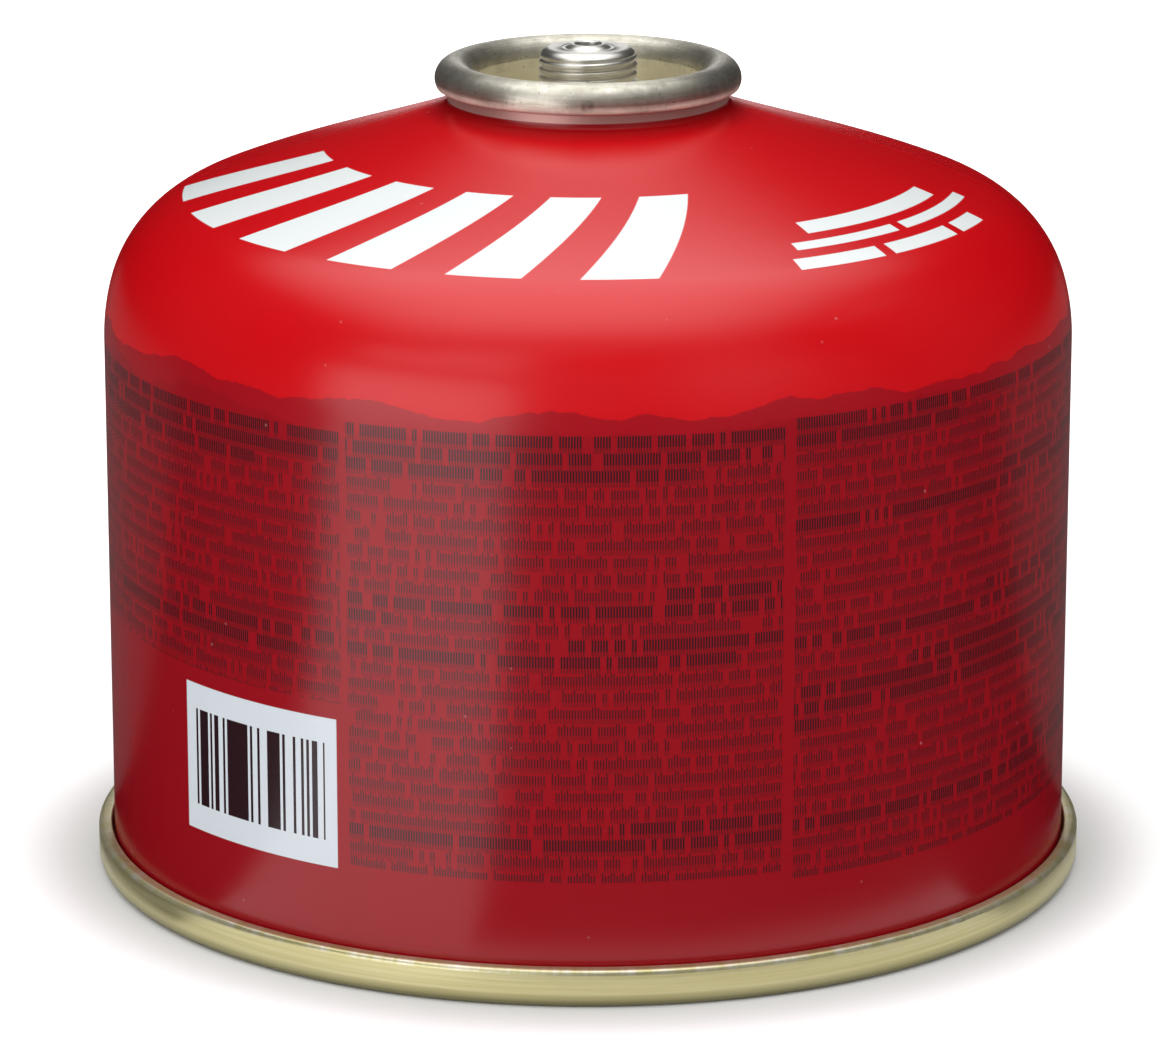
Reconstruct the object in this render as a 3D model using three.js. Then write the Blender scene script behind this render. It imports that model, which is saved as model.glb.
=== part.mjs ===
// Screw-valve gas canister: a drawn and lacquered steel body, a domed base end seamed to it,
// a rolled-rim valve cup with a threaded boss, and the rubber seal that shows in the boss.
// Millimetres, +Z up. The origin is the centre of the foot ring, on the plane that the can stands on.
import * as THREE from "three";

// Clearance between two pieces that touch on the real can
const contactGap = 0.3;

// Body
const bodyRadius = 54;
const bodySheet = 0.45;
const wallTop = 60.5; // height at which the straight wall ends
const topRise = 26.35; // from there to the foot of the neck
const lowerShoulder = { radius: 23.4, turn: 15.7 };
const upperShoulder = { radius: 14.8, turn: 52 };
const domeSlopeAtNeck = 20;
const neckFillet = 0.9;
const neckLength = 2.25; // from the neck's foot to the middle of the rolled rim

// Valve cup
const rimRadius = 14.9; // middle of the rolled rim
const rimRoll = 2.1; // outer radius of the roll itself
const cupSheet = 0.4;
const skirtDrop = 0.35; // straight stretch below the roll
const skirtCorner = 0.6;
const skirtTuck = 0.8; // how far the cut edge is turned in under the rim
const cupDepth = 8; // from the rim's top to the panel
const cupWallTaper = 0.5;
const cupFloorFillet = 1.2;
const bossRadius = 5.45;
const bossHeight = 9.25; // from the panel to the flat land inside the crown
const bossFootFillet = 0.8;
const bossCrown = 1.35; // radius of the rounded crown
const collarFoot = 2.65; // where the land turns up into the collar
const collarFillet = 0.4;
const collarSlope = 30;
const stemHoleRadius = 1.4;
const holeLip = 0.3;
const holeDepth = 0.6; // straight wall below the lip
const tightestBend = 0.05; // on the hidden side of the sheet

// Seal in the boss
const sealThickness = 1.6;
const sealHoleRadius = 1;

// Base end
const seamWall = 1.5; // metal of the seam outside the body
const seamHeight = 4.1;
const seamFoot = 1; // metal under the edge of the body
const seamTopOuter = 0.6;
const seamTopInner = 0.3;
const footOuter = 1.15;
const footInner = 0.7;
const endSheet = 0.45;
const endFillet = 2;
const endFilletHeight = 3.6;
const endCrown = 11; // clear height under the middle of the dome

// Facets
const bodySegments = 60;
const cupSegments = 40;
const sealSegments = 24;
const domeSteps = 5;
const upperShoulderSteps = 6;
const lowerShoulderSteps = 3;
const rimSteps = 10;
const beadSteps = 6;
const crownSteps = 6;
const filletSteps = 3;
const cornerSteps = 2;

// Places that more than one piece goes by
const neckFoot = wallTop + topRise;
const rimMiddle = neckFoot + neckLength;
const rimOuter = rimRadius + rimRoll;
const rimInner = rimRadius - rimRoll;
const cutEdgeRadius = rimOuter - skirtTuck;
const panelHeight = rimMiddle + rimRoll - cupDepth;
const neckRadius = cutEdgeRadius - cupSheet * Math.SQRT1_2 - contactGap;
const mouthRadius = rimInner + cupSheet + contactGap;
const insideBoss = bossRadius - cupSheet - contactGap;
const chuckOuter = bodyRadius - bodySheet - contactGap;
const chuckInner = chuckOuter - endSheet;
const seamInner = bodyRadius + contactGap;
const seamRadius = seamInner + seamWall;

const radians = THREE.MathUtils.degToRad;

// Points on an arc in the radius and height plane, both ends included
function arc(centreRadius, centreHeight, radius, fromDegrees, toDegrees, steps) {
  const points = [];
  for (let step = 0; step <= steps; step++) {
    const angle = radians(THREE.MathUtils.lerp(fromDegrees, toDegrees, step / steps));
    const across = centreRadius + radius * Math.cos(angle);
    const up = centreHeight + radius * Math.sin(angle);
    points.push(new THREE.Vector2(across, up));
  }
  return points;
}

// Turns an outline about Z, with the facets' first edge on +X
function revolve(name, outline, segments, material) {
  const geometry = new THREE.LatheGeometry(outline, segments, Math.PI / 2);
  geometry.rotateX(Math.PI / 2);
  const mesh = new THREE.Mesh(geometry, material);
  mesh.name = name;
  return mesh;
}

// Inside the boss's crown lies a flat land, and from it a collar rises to the stem hole.
// The collar's fillet and its lip are circles that touch its cone, and the cone's line is kept as its reach.
const crownMiddle = new THREE.Vector2(bossRadius - bossCrown, panelHeight + bossHeight - bossCrown);
const filletMiddle = new THREE.Vector2(collarFoot, panelHeight + bossHeight + collarFillet);
const coneDegrees = 90 - collarSlope;
const coneNormal = new THREE.Vector2(Math.cos(radians(coneDegrees)), Math.sin(radians(coneDegrees)));
const coneReach = filletMiddle.dot(coneNormal) - collarFillet;

function lipArc(depth) {
  const bend = Math.max(holeLip - depth, tightestBend);
  const across = stemHoleRadius + depth + bend;
  const up = (coneReach - depth - bend - across * coneNormal.x) / coneNormal.y;
  return arc(across, up, bend, coneDegrees, 180, cornerSteps);
}

const holeBottom = lipArc(0).at(-1).y - holeDepth;
const sealTop = holeBottom - contactGap;
const sealBottom = sealTop - sealThickness;

// The cup's sheet from its cut edge over the rim, down the wall, across the panel and up into the boss.
// depth 0 is the face in view, depth cupSheet the hidden one.
function cupFace(depth) {
  const skirtMiddle = rimMiddle - skirtDrop;
  const skirtArc = arc(rimOuter - skirtCorner, skirtMiddle, skirtCorner - depth, -45, 0, cornerSteps);
  const tuckEnd = skirtArc[0].clone();
  const tuckLength = skirtTuck - skirtCorner * (1 - Math.SQRT1_2);
  tuckEnd.x -= tuckLength;
  tuckEnd.y -= tuckLength;
  const floorArcRadius = rimInner - cupWallTaper - cupFloorFillet;
  return [
    tuckEnd,
    ...skirtArc,
    ...arc(rimRadius, rimMiddle, rimRoll - depth, 0, 180, rimSteps),
    ...arc(floorArcRadius, panelHeight + cupFloorFillet, cupFloorFillet + depth, 0, -90, filletSteps),
    ...arc(bossRadius + bossFootFillet, panelHeight + bossFootFillet, bossFootFillet + depth, 270, 180, filletSteps),
    ...arc(crownMiddle.x, crownMiddle.y, bossCrown - depth, 0, 90, crownSteps),
    ...arc(filletMiddle.x, filletMiddle.y, collarFillet + depth, 270, 180 + coneDegrees, cornerSteps),
    ...lipArc(depth),
    new THREE.Vector2(stemHoleRadius + depth, holeBottom),
  ];
}

// The base end's dome and the fillet round it touch each other, so the dome's radius follows from its crown.
// Going out from the axis, raised is how far the face lies above the one in view from below.
function domedFace(raised) {
  const filletRadius = chuckInner - endFillet;
  const rise = endCrown - endFilletHeight;
  const domeRadius = (filletRadius ** 2 + rise ** 2 - endFillet ** 2) / (2 * (rise - endFillet));
  const domeMiddle = endCrown - domeRadius;
  const touch = THREE.MathUtils.radToDeg(Math.atan2(endFilletHeight - domeMiddle, filletRadius));
  const dome = arc(0, domeMiddle, domeRadius + raised, 90, touch, domeSteps);
  dome[0].x = 0;
  return [...dome, ...arc(filletRadius, endFilletHeight, endFillet + raised, touch, 0, filletSteps)];
}

// From the top of the shoulder, across the dome, to the fillet at the neck
function shoulderAndDome() {
  const shoulderSlope = lowerShoulder.turn + upperShoulder.turn;
  const lower = arc(
    bodyRadius - lowerShoulder.radius, wallTop, lowerShoulder.radius, 0, lowerShoulder.turn, lowerShoulderSteps,
  );
  const join = lower.at(-1);
  const inward = new THREE.Vector2(Math.cos(radians(lowerShoulder.turn)), Math.sin(radians(lowerShoulder.turn)));
  const upperMiddle = join.clone().addScaledVector(inward, -upperShoulder.radius);
  const upper = arc(
    upperMiddle.x, upperMiddle.y, upperShoulder.radius, lowerShoulder.turn, shoulderSlope, upperShoulderSteps,
  );
  const neck = arc(neckRadius + neckFillet, neckFoot, neckFillet, 270 - domeSlopeAtNeck, 180, filletSteps);
  const start = upper.at(-1);
  const end = neck[0];
  const handle = start.distanceTo(end) / 3;
  const startTurn = radians(90 + shoulderSlope);
  const endTurn = radians(180 - domeSlopeAtNeck);
  const leaving = start.clone().add(new THREE.Vector2(Math.cos(startTurn), Math.sin(startTurn)).multiplyScalar(handle));
  const arriving = end.clone().sub(new THREE.Vector2(Math.cos(endTurn), Math.sin(endTurn)).multiplyScalar(handle));
  const dome = new THREE.CubicBezierCurve(start, leaving, arriving, end).getPoints(domeSteps);
  return [...lower, ...upper.slice(1), ...dome.slice(1, -1), ...neck];
}

function makeBody(material) {
  const beadRadius = (neckRadius - mouthRadius) / 2;
  const floor = panelHeight - cupSheet - contactGap;
  const stopTop = sealBottom - contactGap;
  const hookEnd = seamFoot + contactGap;
  const outline = [
    ...domedFace(endSheet + contactGap),
    new THREE.Vector2(bodyRadius - bodySheet, hookEnd),
    new THREE.Vector2(bodyRadius, hookEnd),
    ...shoulderAndDome(),
    ...arc(mouthRadius + beadRadius, rimMiddle, beadRadius, 0, 180, beadSteps),
    new THREE.Vector2(mouthRadius, floor),
    new THREE.Vector2(insideBoss, floor),
    new THREE.Vector2(insideBoss, stopTop),
    new THREE.Vector2(0, stopTop),
  ];
  return revolve("can_body", outline, bodySegments, material);
}

function makeBaseEnd(material) {
  const air = domedFace(0);
  const inside = domedFace(endSheet);
  const outline = [
    ...air,
    ...arc(chuckInner + footInner, footInner, footInner, 180, 270, filletSteps),
    ...arc(seamRadius - footOuter, footOuter, footOuter, -90, 0, filletSteps),
    ...arc(seamRadius - seamTopOuter, seamHeight - seamTopOuter, seamTopOuter, 0, 90, filletSteps),
    ...arc(seamInner + seamTopInner, seamHeight - seamTopInner, seamTopInner, 90, 180, cornerSteps),
    new THREE.Vector2(seamInner, seamFoot),
    new THREE.Vector2(chuckOuter, seamFoot),
    ...inside.reverse(),
  ];
  return revolve("base_end", outline, bodySegments, material);
}

function makeValveCup(material) {
  const outline = [...cupFace(0), ...cupFace(cupSheet).reverse()];
  outline.push(outline[0].clone());
  return revolve("valve_cup", outline, cupSegments, material);
}

function makeStemSeal(material) {
  const outline = [
    new THREE.Vector2(sealHoleRadius, sealBottom),
    new THREE.Vector2(crownMiddle.x, sealBottom),
    new THREE.Vector2(crownMiddle.x, sealTop),
    new THREE.Vector2(sealHoleRadius, sealTop),
    new THREE.Vector2(sealHoleRadius, sealBottom),
  ];
  return revolve("stem_seal", outline, sealSegments, material);
}

const redLacquer = new THREE.MeshStandardMaterial({ color: 0xc4041a, roughness: 0.35, metalness: 0.3 });
const goldLacquer = new THREE.MeshStandardMaterial({ color: 0xb2ad85, roughness: 0.35, metalness: 0.9 });
const tinplate = new THREE.MeshStandardMaterial({ color: 0xc4beae, roughness: 0.3, metalness: 1 });
const blackRubber = new THREE.MeshStandardMaterial({ color: 0x191817, roughness: 0.8, metalness: 0 });

const canister = new THREE.Group();
canister.name = "fuel_canister";
canister.add(makeBody(redLacquer));
canister.add(makeBaseEnd(goldLacquer));
canister.add(makeValveCup(tinplate));
canister.add(makeStemSeal(blackRubber));

export default canister;
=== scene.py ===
# Fuel canister with a screw valve: turned sheet-metal pieces, their finishes and the studio
from math import atan2, cos, exp, hypot, pi, radians, sin

import bpy
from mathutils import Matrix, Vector


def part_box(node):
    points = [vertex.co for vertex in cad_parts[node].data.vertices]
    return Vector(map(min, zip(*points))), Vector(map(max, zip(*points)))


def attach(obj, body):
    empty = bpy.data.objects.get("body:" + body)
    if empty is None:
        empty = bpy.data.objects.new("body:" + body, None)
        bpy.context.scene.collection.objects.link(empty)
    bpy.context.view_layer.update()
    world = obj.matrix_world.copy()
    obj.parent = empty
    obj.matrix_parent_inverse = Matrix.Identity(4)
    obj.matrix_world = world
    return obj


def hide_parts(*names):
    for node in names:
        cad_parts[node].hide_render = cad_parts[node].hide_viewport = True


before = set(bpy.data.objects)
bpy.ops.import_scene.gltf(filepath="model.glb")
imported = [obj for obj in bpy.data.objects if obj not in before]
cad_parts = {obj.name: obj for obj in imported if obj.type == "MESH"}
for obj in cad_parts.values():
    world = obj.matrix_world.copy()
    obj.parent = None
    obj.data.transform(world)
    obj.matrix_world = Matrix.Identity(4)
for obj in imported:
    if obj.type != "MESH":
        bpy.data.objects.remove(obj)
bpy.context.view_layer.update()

mm = 0.001

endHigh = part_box("base_end")[1]
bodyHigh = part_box("can_body")[1]
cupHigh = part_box("valve_cup")[1]
sealLow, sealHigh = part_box("stem_seal")

# Pieces are drawn in millimetres and degrees, and their outer sizes come from the frame
can = {
    "bodyRadius": bodyHigh.x / mm,
    "seamRadius": endHigh.x / mm,
    "topHeight": cupHigh.z / mm,
    "gap": 0.3,             # between the body's sheet and the end's in the seam
    "mergeWithin": 0.003,
    "creaseFrom": 40,       # degrees between two faces
}


# Drawing and turning

def arcPoints(centre, radius, fromDegrees, toDegrees, steps):
    points = []
    for step in range(steps + 1):
        angle = radians(fromDegrees + (toDegrees - fromDegrees) * step / steps)
        points.append((centre[0] + radius * cos(angle), centre[1] + radius * sin(angle)))
    return points


def linePoints(start, end, steps):
    # the points between two ends, without the ends
    return [tuple(a + (b - a) * k / steps for a, b in zip(start, end)) for k in range(1, steps)]


def curvePoints(start, leaving, arriving, end, steps):
    # the points of a Bezier curve, without its ends
    points = []
    for step in range(1, steps):
        t = step / steps
        weights = ((1 - t) ** 3, 3 * (1 - t) ** 2 * t, 3 * (1 - t) * t * t, t ** 3)
        pulls = list(zip(weights, (start, leaving, arriving, end)))
        points.append(tuple(sum(w * p[i] for w, p in pulls) for i in (0, 1)))
    return points


def turnPiece(name, outline, steps):
    # one vertex is extruded along the outline in the XZ plane, and the line is spun round Z
    bpy.ops.object.select_all(action="DESELECT")
    bpy.ops.mesh.primitive_plane_add(size=mm)
    piece = bpy.context.object
    piece.name = name
    piece.data.name = name
    bpy.ops.object.mode_set(mode="EDIT")
    bpy.ops.mesh.merge(type="CENTER")
    bpy.ops.transform.translate(value=(outline[0][0] * mm, 0, outline[0][1] * mm))
    for here, there in zip(outline, outline[1:]):
        move = ((there[0] - here[0]) * mm, 0, (there[1] - here[1]) * mm)
        bpy.ops.mesh.extrude_vertices_move(TRANSFORM_OT_translate={"value": move})
    bpy.ops.mesh.select_all(action="SELECT")
    bpy.ops.mesh.spin(steps=steps, angle=2 * pi, center=(0, 0, 0), axis=(0, 0, 1))
    bpy.ops.mesh.select_all(action="SELECT")
    bpy.ops.mesh.remove_doubles(threshold=can["mergeWithin"] * mm)
    bpy.ops.mesh.normals_make_consistent(inside=False)
    bpy.ops.object.mode_set(mode="OBJECT")
    bpy.ops.object.shade_smooth_by_angle(angle=radians(can["creaseFrom"]))
    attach(piece, "root")
    return piece


# Body: wall, shoulder, dome, neck and bead, in one drawn sheet

body = {
    "sheet": 0.45,
    "hookEnd": 1.3,
    "wallTop": 60.5,
    "lowerShoulder": 23.4,
    "lowerTurn": 15.7,
    "upperShoulder": 14.8,
    "upperTurn": 52.0,
    "domeSlopeAtNeck": 20.0,
    "neckFillet": 0.9,
    "neckFoot": 86.85,
    "neckRadius": 15.617,
    "mouthRadius": 13.5,
    "rimMiddle": 89.1,
    "boreDepth": 2.6,
    "neckRidge": 87.88,
    "ridgeSize": 0.13,
    "steps": 320,
    "arcSteps": {"wall": 12, "lower": 10, "upper": 26, "dome": 18, "neck": 8, "ridge": 8, "bead": 12},
}


def bodyFace(inset):
    # from the hook in the seam to the neck; inset 0 is the lacquered side
    radius, arcs = can["bodyRadius"], body["arcSteps"]
    slope = body["lowerTurn"] + body["upperTurn"]
    lowerMiddle = (radius - body["lowerShoulder"], body["wallTop"])
    lower = arcPoints(lowerMiddle, body["lowerShoulder"] - inset, 0, body["lowerTurn"], arcs["lower"])
    turn = radians(body["lowerTurn"])
    joinRadius = body["lowerShoulder"] - body["upperShoulder"]
    upperMiddle = (lowerMiddle[0] + joinRadius * cos(turn), lowerMiddle[1] + joinRadius * sin(turn))
    upper = arcPoints(upperMiddle, body["upperShoulder"] - inset, body["lowerTurn"], slope, arcs["upper"])
    neckMiddle = (body["neckRadius"] + body["neckFillet"], body["neckFoot"])
    neck = arcPoints(neckMiddle, body["neckFillet"] + inset, 270 - body["domeSlopeAtNeck"], 180, arcs["neck"])
    start, end = upper[-1], neck[0]
    handle = hypot(start[0] - end[0], start[1] - end[1]) / 3
    startTurn, endTurn = radians(90 + slope), radians(180 - body["domeSlopeAtNeck"])
    leaving = (start[0] + handle * cos(startTurn), start[1] + handle * sin(startTurn))
    arriving = (end[0] - handle * cos(endTurn), end[1] - handle * sin(endTurn))
    dome = curvePoints(start, leaving, arriving, end, arcs["dome"])
    wall = [(radius - inset, body["hookEnd"])]
    wall += linePoints(wall[0], lower[0], arcs["wall"])
    return wall + lower + upper[1:] + dome + neck


def makeBody():
    arcs = body["arcSteps"]
    outside = bodyFace(0)
    inside = bodyFace(body["sheet"])[:-arcs["neck"]]    # ends where the neck's fillet begins
    ridge = arcPoints((body["neckRadius"], body["neckRidge"]), body["ridgeSize"], -90, 90, arcs["ridge"])
    beadRadius = (body["neckRadius"] - body["mouthRadius"]) / 2
    beadMiddle = (body["mouthRadius"] + beadRadius, body["rimMiddle"])
    bead = arcPoints(beadMiddle, beadRadius, 0, 180, arcs["bead"])
    boreEnd = (body["mouthRadius"], body["rimMiddle"] - body["boreDepth"])
    outline = outside + ridge + bead + [boreEnd] + inside[::-1] + [outside[0]]
    return turnPiece("body_shell", outline, body["steps"])


# Base end: the dome under the can, its countersink and the double seam

base = {
    "sheet": 0.45,
    "seamHeight": 4.25,
    "seamFoot": 1.0,
    "topOuter": 0.6,
    "topInner": 0.2,
    "footOuter": 1.15,
    "footInner": 0.7,
    "fillet": 2.0,
    "filletHeight": 3.6,
    "crown": 11.0,
    "steps": 320,
    "arcSteps": {"dome": 20, "fillet": 8, "footInner": 6, "footOuter": 10, "topOuter": 8, "topInner": 5},
}
base["chuckOuter"] = can["bodyRadius"] - body["sheet"] - can["gap"]
base["chuckInner"] = base["chuckOuter"] - base["sheet"]


def baseFace(raised):
    # from the middle of the dome to the countersink; raised 0 is the underside
    arcs = base["arcSteps"]
    filletRadius = base["chuckInner"] - base["fillet"]
    rise = base["crown"] - base["filletHeight"]
    domeRadius = (filletRadius ** 2 + rise ** 2 - base["fillet"] ** 2) / (2 * (rise - base["fillet"]))
    domeMiddle = base["crown"] - domeRadius
    touch = atan2(base["filletHeight"] - domeMiddle, filletRadius) * 180 / pi
    dome = arcPoints((0, domeMiddle), domeRadius + raised, 90, touch, arcs["dome"])
    fillet = arcPoints((filletRadius, base["filletHeight"]), base["fillet"] + raised, touch, 0, arcs["fillet"])
    return [(0, dome[0][1])] + dome[1:] + fillet[1:]


def makeBaseEnd():
    arcs = base["arcSteps"]
    seamInner = can["bodyRadius"] + can["gap"]
    outer, height = can["seamRadius"], base["seamHeight"]
    footInner, footOuter = base["footInner"], base["footOuter"]
    topOuter, topInner = base["topOuter"], base["topInner"]
    outline = baseFace(0)
    outline += arcPoints((base["chuckInner"] + footInner, footInner), footInner, 180, 270, arcs["footInner"])
    outline += arcPoints((outer - footOuter, footOuter), footOuter, -90, 0, arcs["footOuter"])
    outline += arcPoints((outer - topOuter, height - topOuter), topOuter, 0, 90, arcs["topOuter"])
    outline += arcPoints((seamInner + topInner, height - topInner), topInner, 90, 180, arcs["topInner"])
    outline += [(seamInner, base["seamFoot"]), (base["chuckOuter"], base["seamFoot"])]
    outline += baseFace(base["sheet"])[::-1]
    return turnPiece("base_seam_end", outline, base["steps"])


# Valve cup: rolled rim, cup wall, panel and the boss with its rolled thread

cup = {
    "sheet": 0.4,
    "rimRadius": 14.9,
    "rimRoll": 2.1,
    "hemTurn": -23.0,
    "hiddenTurn": -18.0,
    "hem": ((16.2, 88.07), (16.42, 88.04), (16.6, 88.06), (16.73, 88.13)),
    "depth": 8.0,
    "wallTaper": 0.5,
    "floorFillet": 1.2,
    "bossRadius": 5.45,
    "bossFootFillet": 0.8,
    "crownRadius": 1.35,
    "bossHeight": 9.25,
    "ridgeRadius": 2.98,
    "ridgeHeight": 0.05,
    "collarFoot": 2.65,
    "collarFillet": 0.4,
    "collarSlope": 30.0,
    "lip": 0.3,
    "hiddenLip": 0.05,
    "holeRadius": 1.4,
    "holeDepth": 0.6,
    "steps": 192,
    "arcSteps": {"rim": 40, "wall": 8, "floor": 8, "foot": 6, "crown": 26, "fillet": 6, "lip": 10},
    "threadRows": 120,
}
thread = {
    "pitch": 0.907,
    "depth": 0.42,
    "groove": 0.2,          # half its width
    "edge": 0.09,
    "groovePlace": 91.6,    # its height at the front
    "fullBelow": 90.9,
    "goneAbove": 91.9,
    "startsAt": 84.4,
    "slack": 0.01,
}
cup["panel"] = body["rimMiddle"] + cup["rimRoll"] - cup["depth"]


def collarLip(depth):
    # the lip touches the collar's cone, and its hidden side keeps a small bend
    normal = radians(90 - cup["collarSlope"])
    land = cup["panel"] + cup["bossHeight"]
    reach = cup["collarFoot"] * cos(normal) + (land + cup["collarFillet"]) * sin(normal) - cup["collarFillet"]
    bend = max(cup["lip"] - depth, cup["hiddenLip"])
    across = cup["holeRadius"] + depth + bend
    height = (reach - depth - bend - across * cos(normal)) / sin(normal)
    points = arcPoints((across, height), bend, 90 - cup["collarSlope"], 180, cup["arcSteps"]["lip"])
    return [(x, min(z, can["topHeight"])) for x, z in points]


def cupFace(depth):
    # depth 0 is the side in view, and the boss has close rows there for its thread
    inView, arcs = depth == 0, cup["arcSteps"]
    hem = list(cup["hem"]) if inView else [(cup["hem"][0][0], cup["hem"][0][1] + depth)]
    start = cup["hemTurn"] if inView else cup["hiddenTurn"]
    rim = arcPoints((cup["rimRadius"], body["rimMiddle"]), cup["rimRoll"] - depth, start, 180, arcs["rim"])
    floorMiddle = (cup["rimRadius"] - cup["rimRoll"] - cup["wallTaper"] - cup["floorFillet"],
                   cup["panel"] + cup["floorFillet"])
    floor = arcPoints(floorMiddle, cup["floorFillet"] + depth, 0, -90, arcs["floor"])
    wall = linePoints(rim[-1], floor[0], arcs["wall"])
    footMiddle = (cup["bossRadius"] + cup["bossFootFillet"], cup["panel"] + cup["bossFootFillet"])
    foot = arcPoints(footMiddle, cup["bossFootFillet"] + depth, 270, 180, arcs["foot"])
    land = cup["panel"] + cup["bossHeight"]
    crownMiddle = (cup["bossRadius"] - cup["crownRadius"], land - cup["crownRadius"])
    crown = arcPoints(crownMiddle, cup["crownRadius"] - depth, 0, 90, arcs["crown"])
    fillet = arcPoints((cup["collarFoot"], land + cup["collarFillet"]), cup["collarFillet"] + depth,
                       270, 270 - cup["collarSlope"], arcs["fillet"])
    boss = ridge = []
    if inView:
        boss = linePoints(foot[-1], crown[0], cup["threadRows"])
        size = cup["ridgeHeight"]
        ridge = [(cup["ridgeRadius"] + size * k, land + size * sin(radians(90 - 45 * abs(k))))
                 for k in (2, 1, 0, -1, -2)]
    lip = collarLip(depth)
    hole = (cup["holeRadius"] + depth, collarLip(0)[-1][1] - cup["holeDepth"])
    return hem + rim + wall + floor + foot + boss + crown + ridge + fillet + lip + [hole]


def rollThread(piece):
    # the groove is pressed into the boss by moving its vertices towards the axis
    inner = cup["bossRadius"] - cup["crownRadius"] / 2
    outer = cup["bossRadius"] + thread["slack"]
    fadeSpan = thread["goneAbove"] - thread["fullBelow"]
    for vertex in piece.data.vertices:
        x, y, z = vertex.co / mm
        radius = hypot(x, y)
        if not inner < radius < outer or z < thread["startsAt"] or z > thread["goneAbove"]:
            continue
        turn = atan2(x, -y) / (2 * pi)
        climb = (z - thread["groovePlace"]) / thread["pitch"] - turn
        away = abs(climb - round(climb)) * thread["pitch"]
        press = 1 / (1 + exp((away - thread["groove"]) / (thread["edge"] / 4)))
        runIn = (z - thread["startsAt"]) / thread["pitch"]
        runOut = (thread["goneAbove"] - z) / fadeSpan
        inward = thread["depth"] * press * min(1, max(0, runOut), runIn) / radius
        vertex.co.x -= vertex.co.x * inward
        vertex.co.y -= vertex.co.y * inward


def makeValveCup():
    outline = cupFace(0) + cupFace(cup["sheet"])[::-1]
    outline.append(outline[0])
    piece = turnPiece("valve_cup_pressing", outline, cup["steps"])
    rollThread(piece)
    return piece


# Stem seal: the rubber ring under the boss's hole

seal = {"holeRadius": 1.1, "edge": 0.12, "steps": 64, "cornerSteps": 4}


def makeStemSeal():
    low, high, outer = sealLow.z / mm, sealHigh.z / mm, sealHigh.x / mm
    hole, edge = seal["holeRadius"], seal["edge"]
    corners = ((hole + edge, high - edge, 180), (outer - edge, high - edge, 90),
               (outer - edge, low + edge, 0), (hole + edge, low + edge, -90))
    outline = []
    for across, up, turn in corners:
        outline += arcPoints((across, up), edge, turn, turn - 90, seal["cornerSteps"])
    outline.append(outline[0])
    return turnPiece("stem_seal_ring", outline, seal["steps"])


print("turning the body")
bodyShell = makeBody()
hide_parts("can_body")
print("turning the base end")
baseSeamEnd = makeBaseEnd()
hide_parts("base_end")
print("turning the valve cup")
valveCup = makeValveCup()
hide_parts("valve_cup")
print("turning the stem seal")
stemSeal = makeStemSeal()
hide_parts("stem_seal")


# Node helpers

def newMaterial(name):
    material = bpy.data.materials.new(name)
    material.use_nodes = True
    tree = material.node_tree
    return material, tree, tree.nodes["Principled BSDF"]


def put(tree, kind, inputs=None, **settings):
    node = tree.nodes.new(kind)
    for key, value in settings.items():
        setattr(node, key, value)
    for key, value in (inputs or {}).items():
        plug(tree, node.inputs[key], value)
    return node


def plug(tree, socket, value):
    if isinstance(value, bpy.types.NodeSocket):
        tree.links.new(value, socket)
    else:
        socket.default_value = value


def calc(tree, operation, *values):
    node = put(tree, "ShaderNodeMath", operation=operation)
    for socket, value in zip(node.inputs, values):
        plug(tree, socket, value)
    return node.outputs[0]


def remap(tree, value, fromLow, fromHigh, toLow=0.0, toHigh=1.0, shape="LINEAR"):
    node = put(tree, "ShaderNodeMapRange", {"Value": value, "From Min": fromLow, "From Max": fromHigh,
                                            "To Min": toLow, "To Max": toHigh}, interpolation_type=shape)
    return node.outputs[0]


def between(tree, value, low, high, soft):
    # 1 where value lies from low to high, with soft edges
    rise = remap(tree, value, calc(tree, "SUBTRACT", low, soft), calc(tree, "ADD", low, soft))
    fall = remap(tree, value, calc(tree, "ADD", high, soft), calc(tree, "SUBTRACT", high, soft))
    return calc(tree, "MULTIPLY", rise, fall)


def blend(tree, kind, factor, under, over):
    node = put(tree, "ShaderNodeMix", data_type=kind)
    for key, value in (("Factor", factor), ("A", under), ("B", over)):
        plug(tree, node.inputs[key], value)
    return node.outputs["Result"]


def blendColour(tree, factor, under, over):
    return blend(tree, "RGBA", factor, under, over)


def blendValue(tree, factor, under, over):
    return blend(tree, "FLOAT", factor, under, over)


def noise(tree, vector, scale, detail=2.0, roughness=0.5):
    node = put(tree, "ShaderNodeTexNoise", {"Vector": vector, "Scale": scale, "Detail": detail,
                                            "Roughness": roughness})
    return node.outputs[0]


def startGroup(name, inputs, outputs):
    tree = bpy.data.node_groups.new(name, "ShaderNodeTree")
    for socketName, kind, value in inputs:
        socket = tree.interface.new_socket(socketName, in_out="INPUT", socket_type=kind)
        socket.default_value = value
    for socketName, kind in outputs:
        tree.interface.new_socket(socketName, in_out="OUTPUT", socket_type=kind)
    return tree, tree.nodes.new("NodeGroupInput").outputs, tree.nodes.new("NodeGroupOutput").inputs


def useGroup(tree, group, **inputs):
    node = put(tree, "ShaderNodeGroup", node_tree=group)
    for key, value in inputs.items():
        plug(tree, node.inputs[key], value)
    return node.outputs


# Where on the can a point lies: degrees round it from the front, and millimetres up and out

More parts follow.
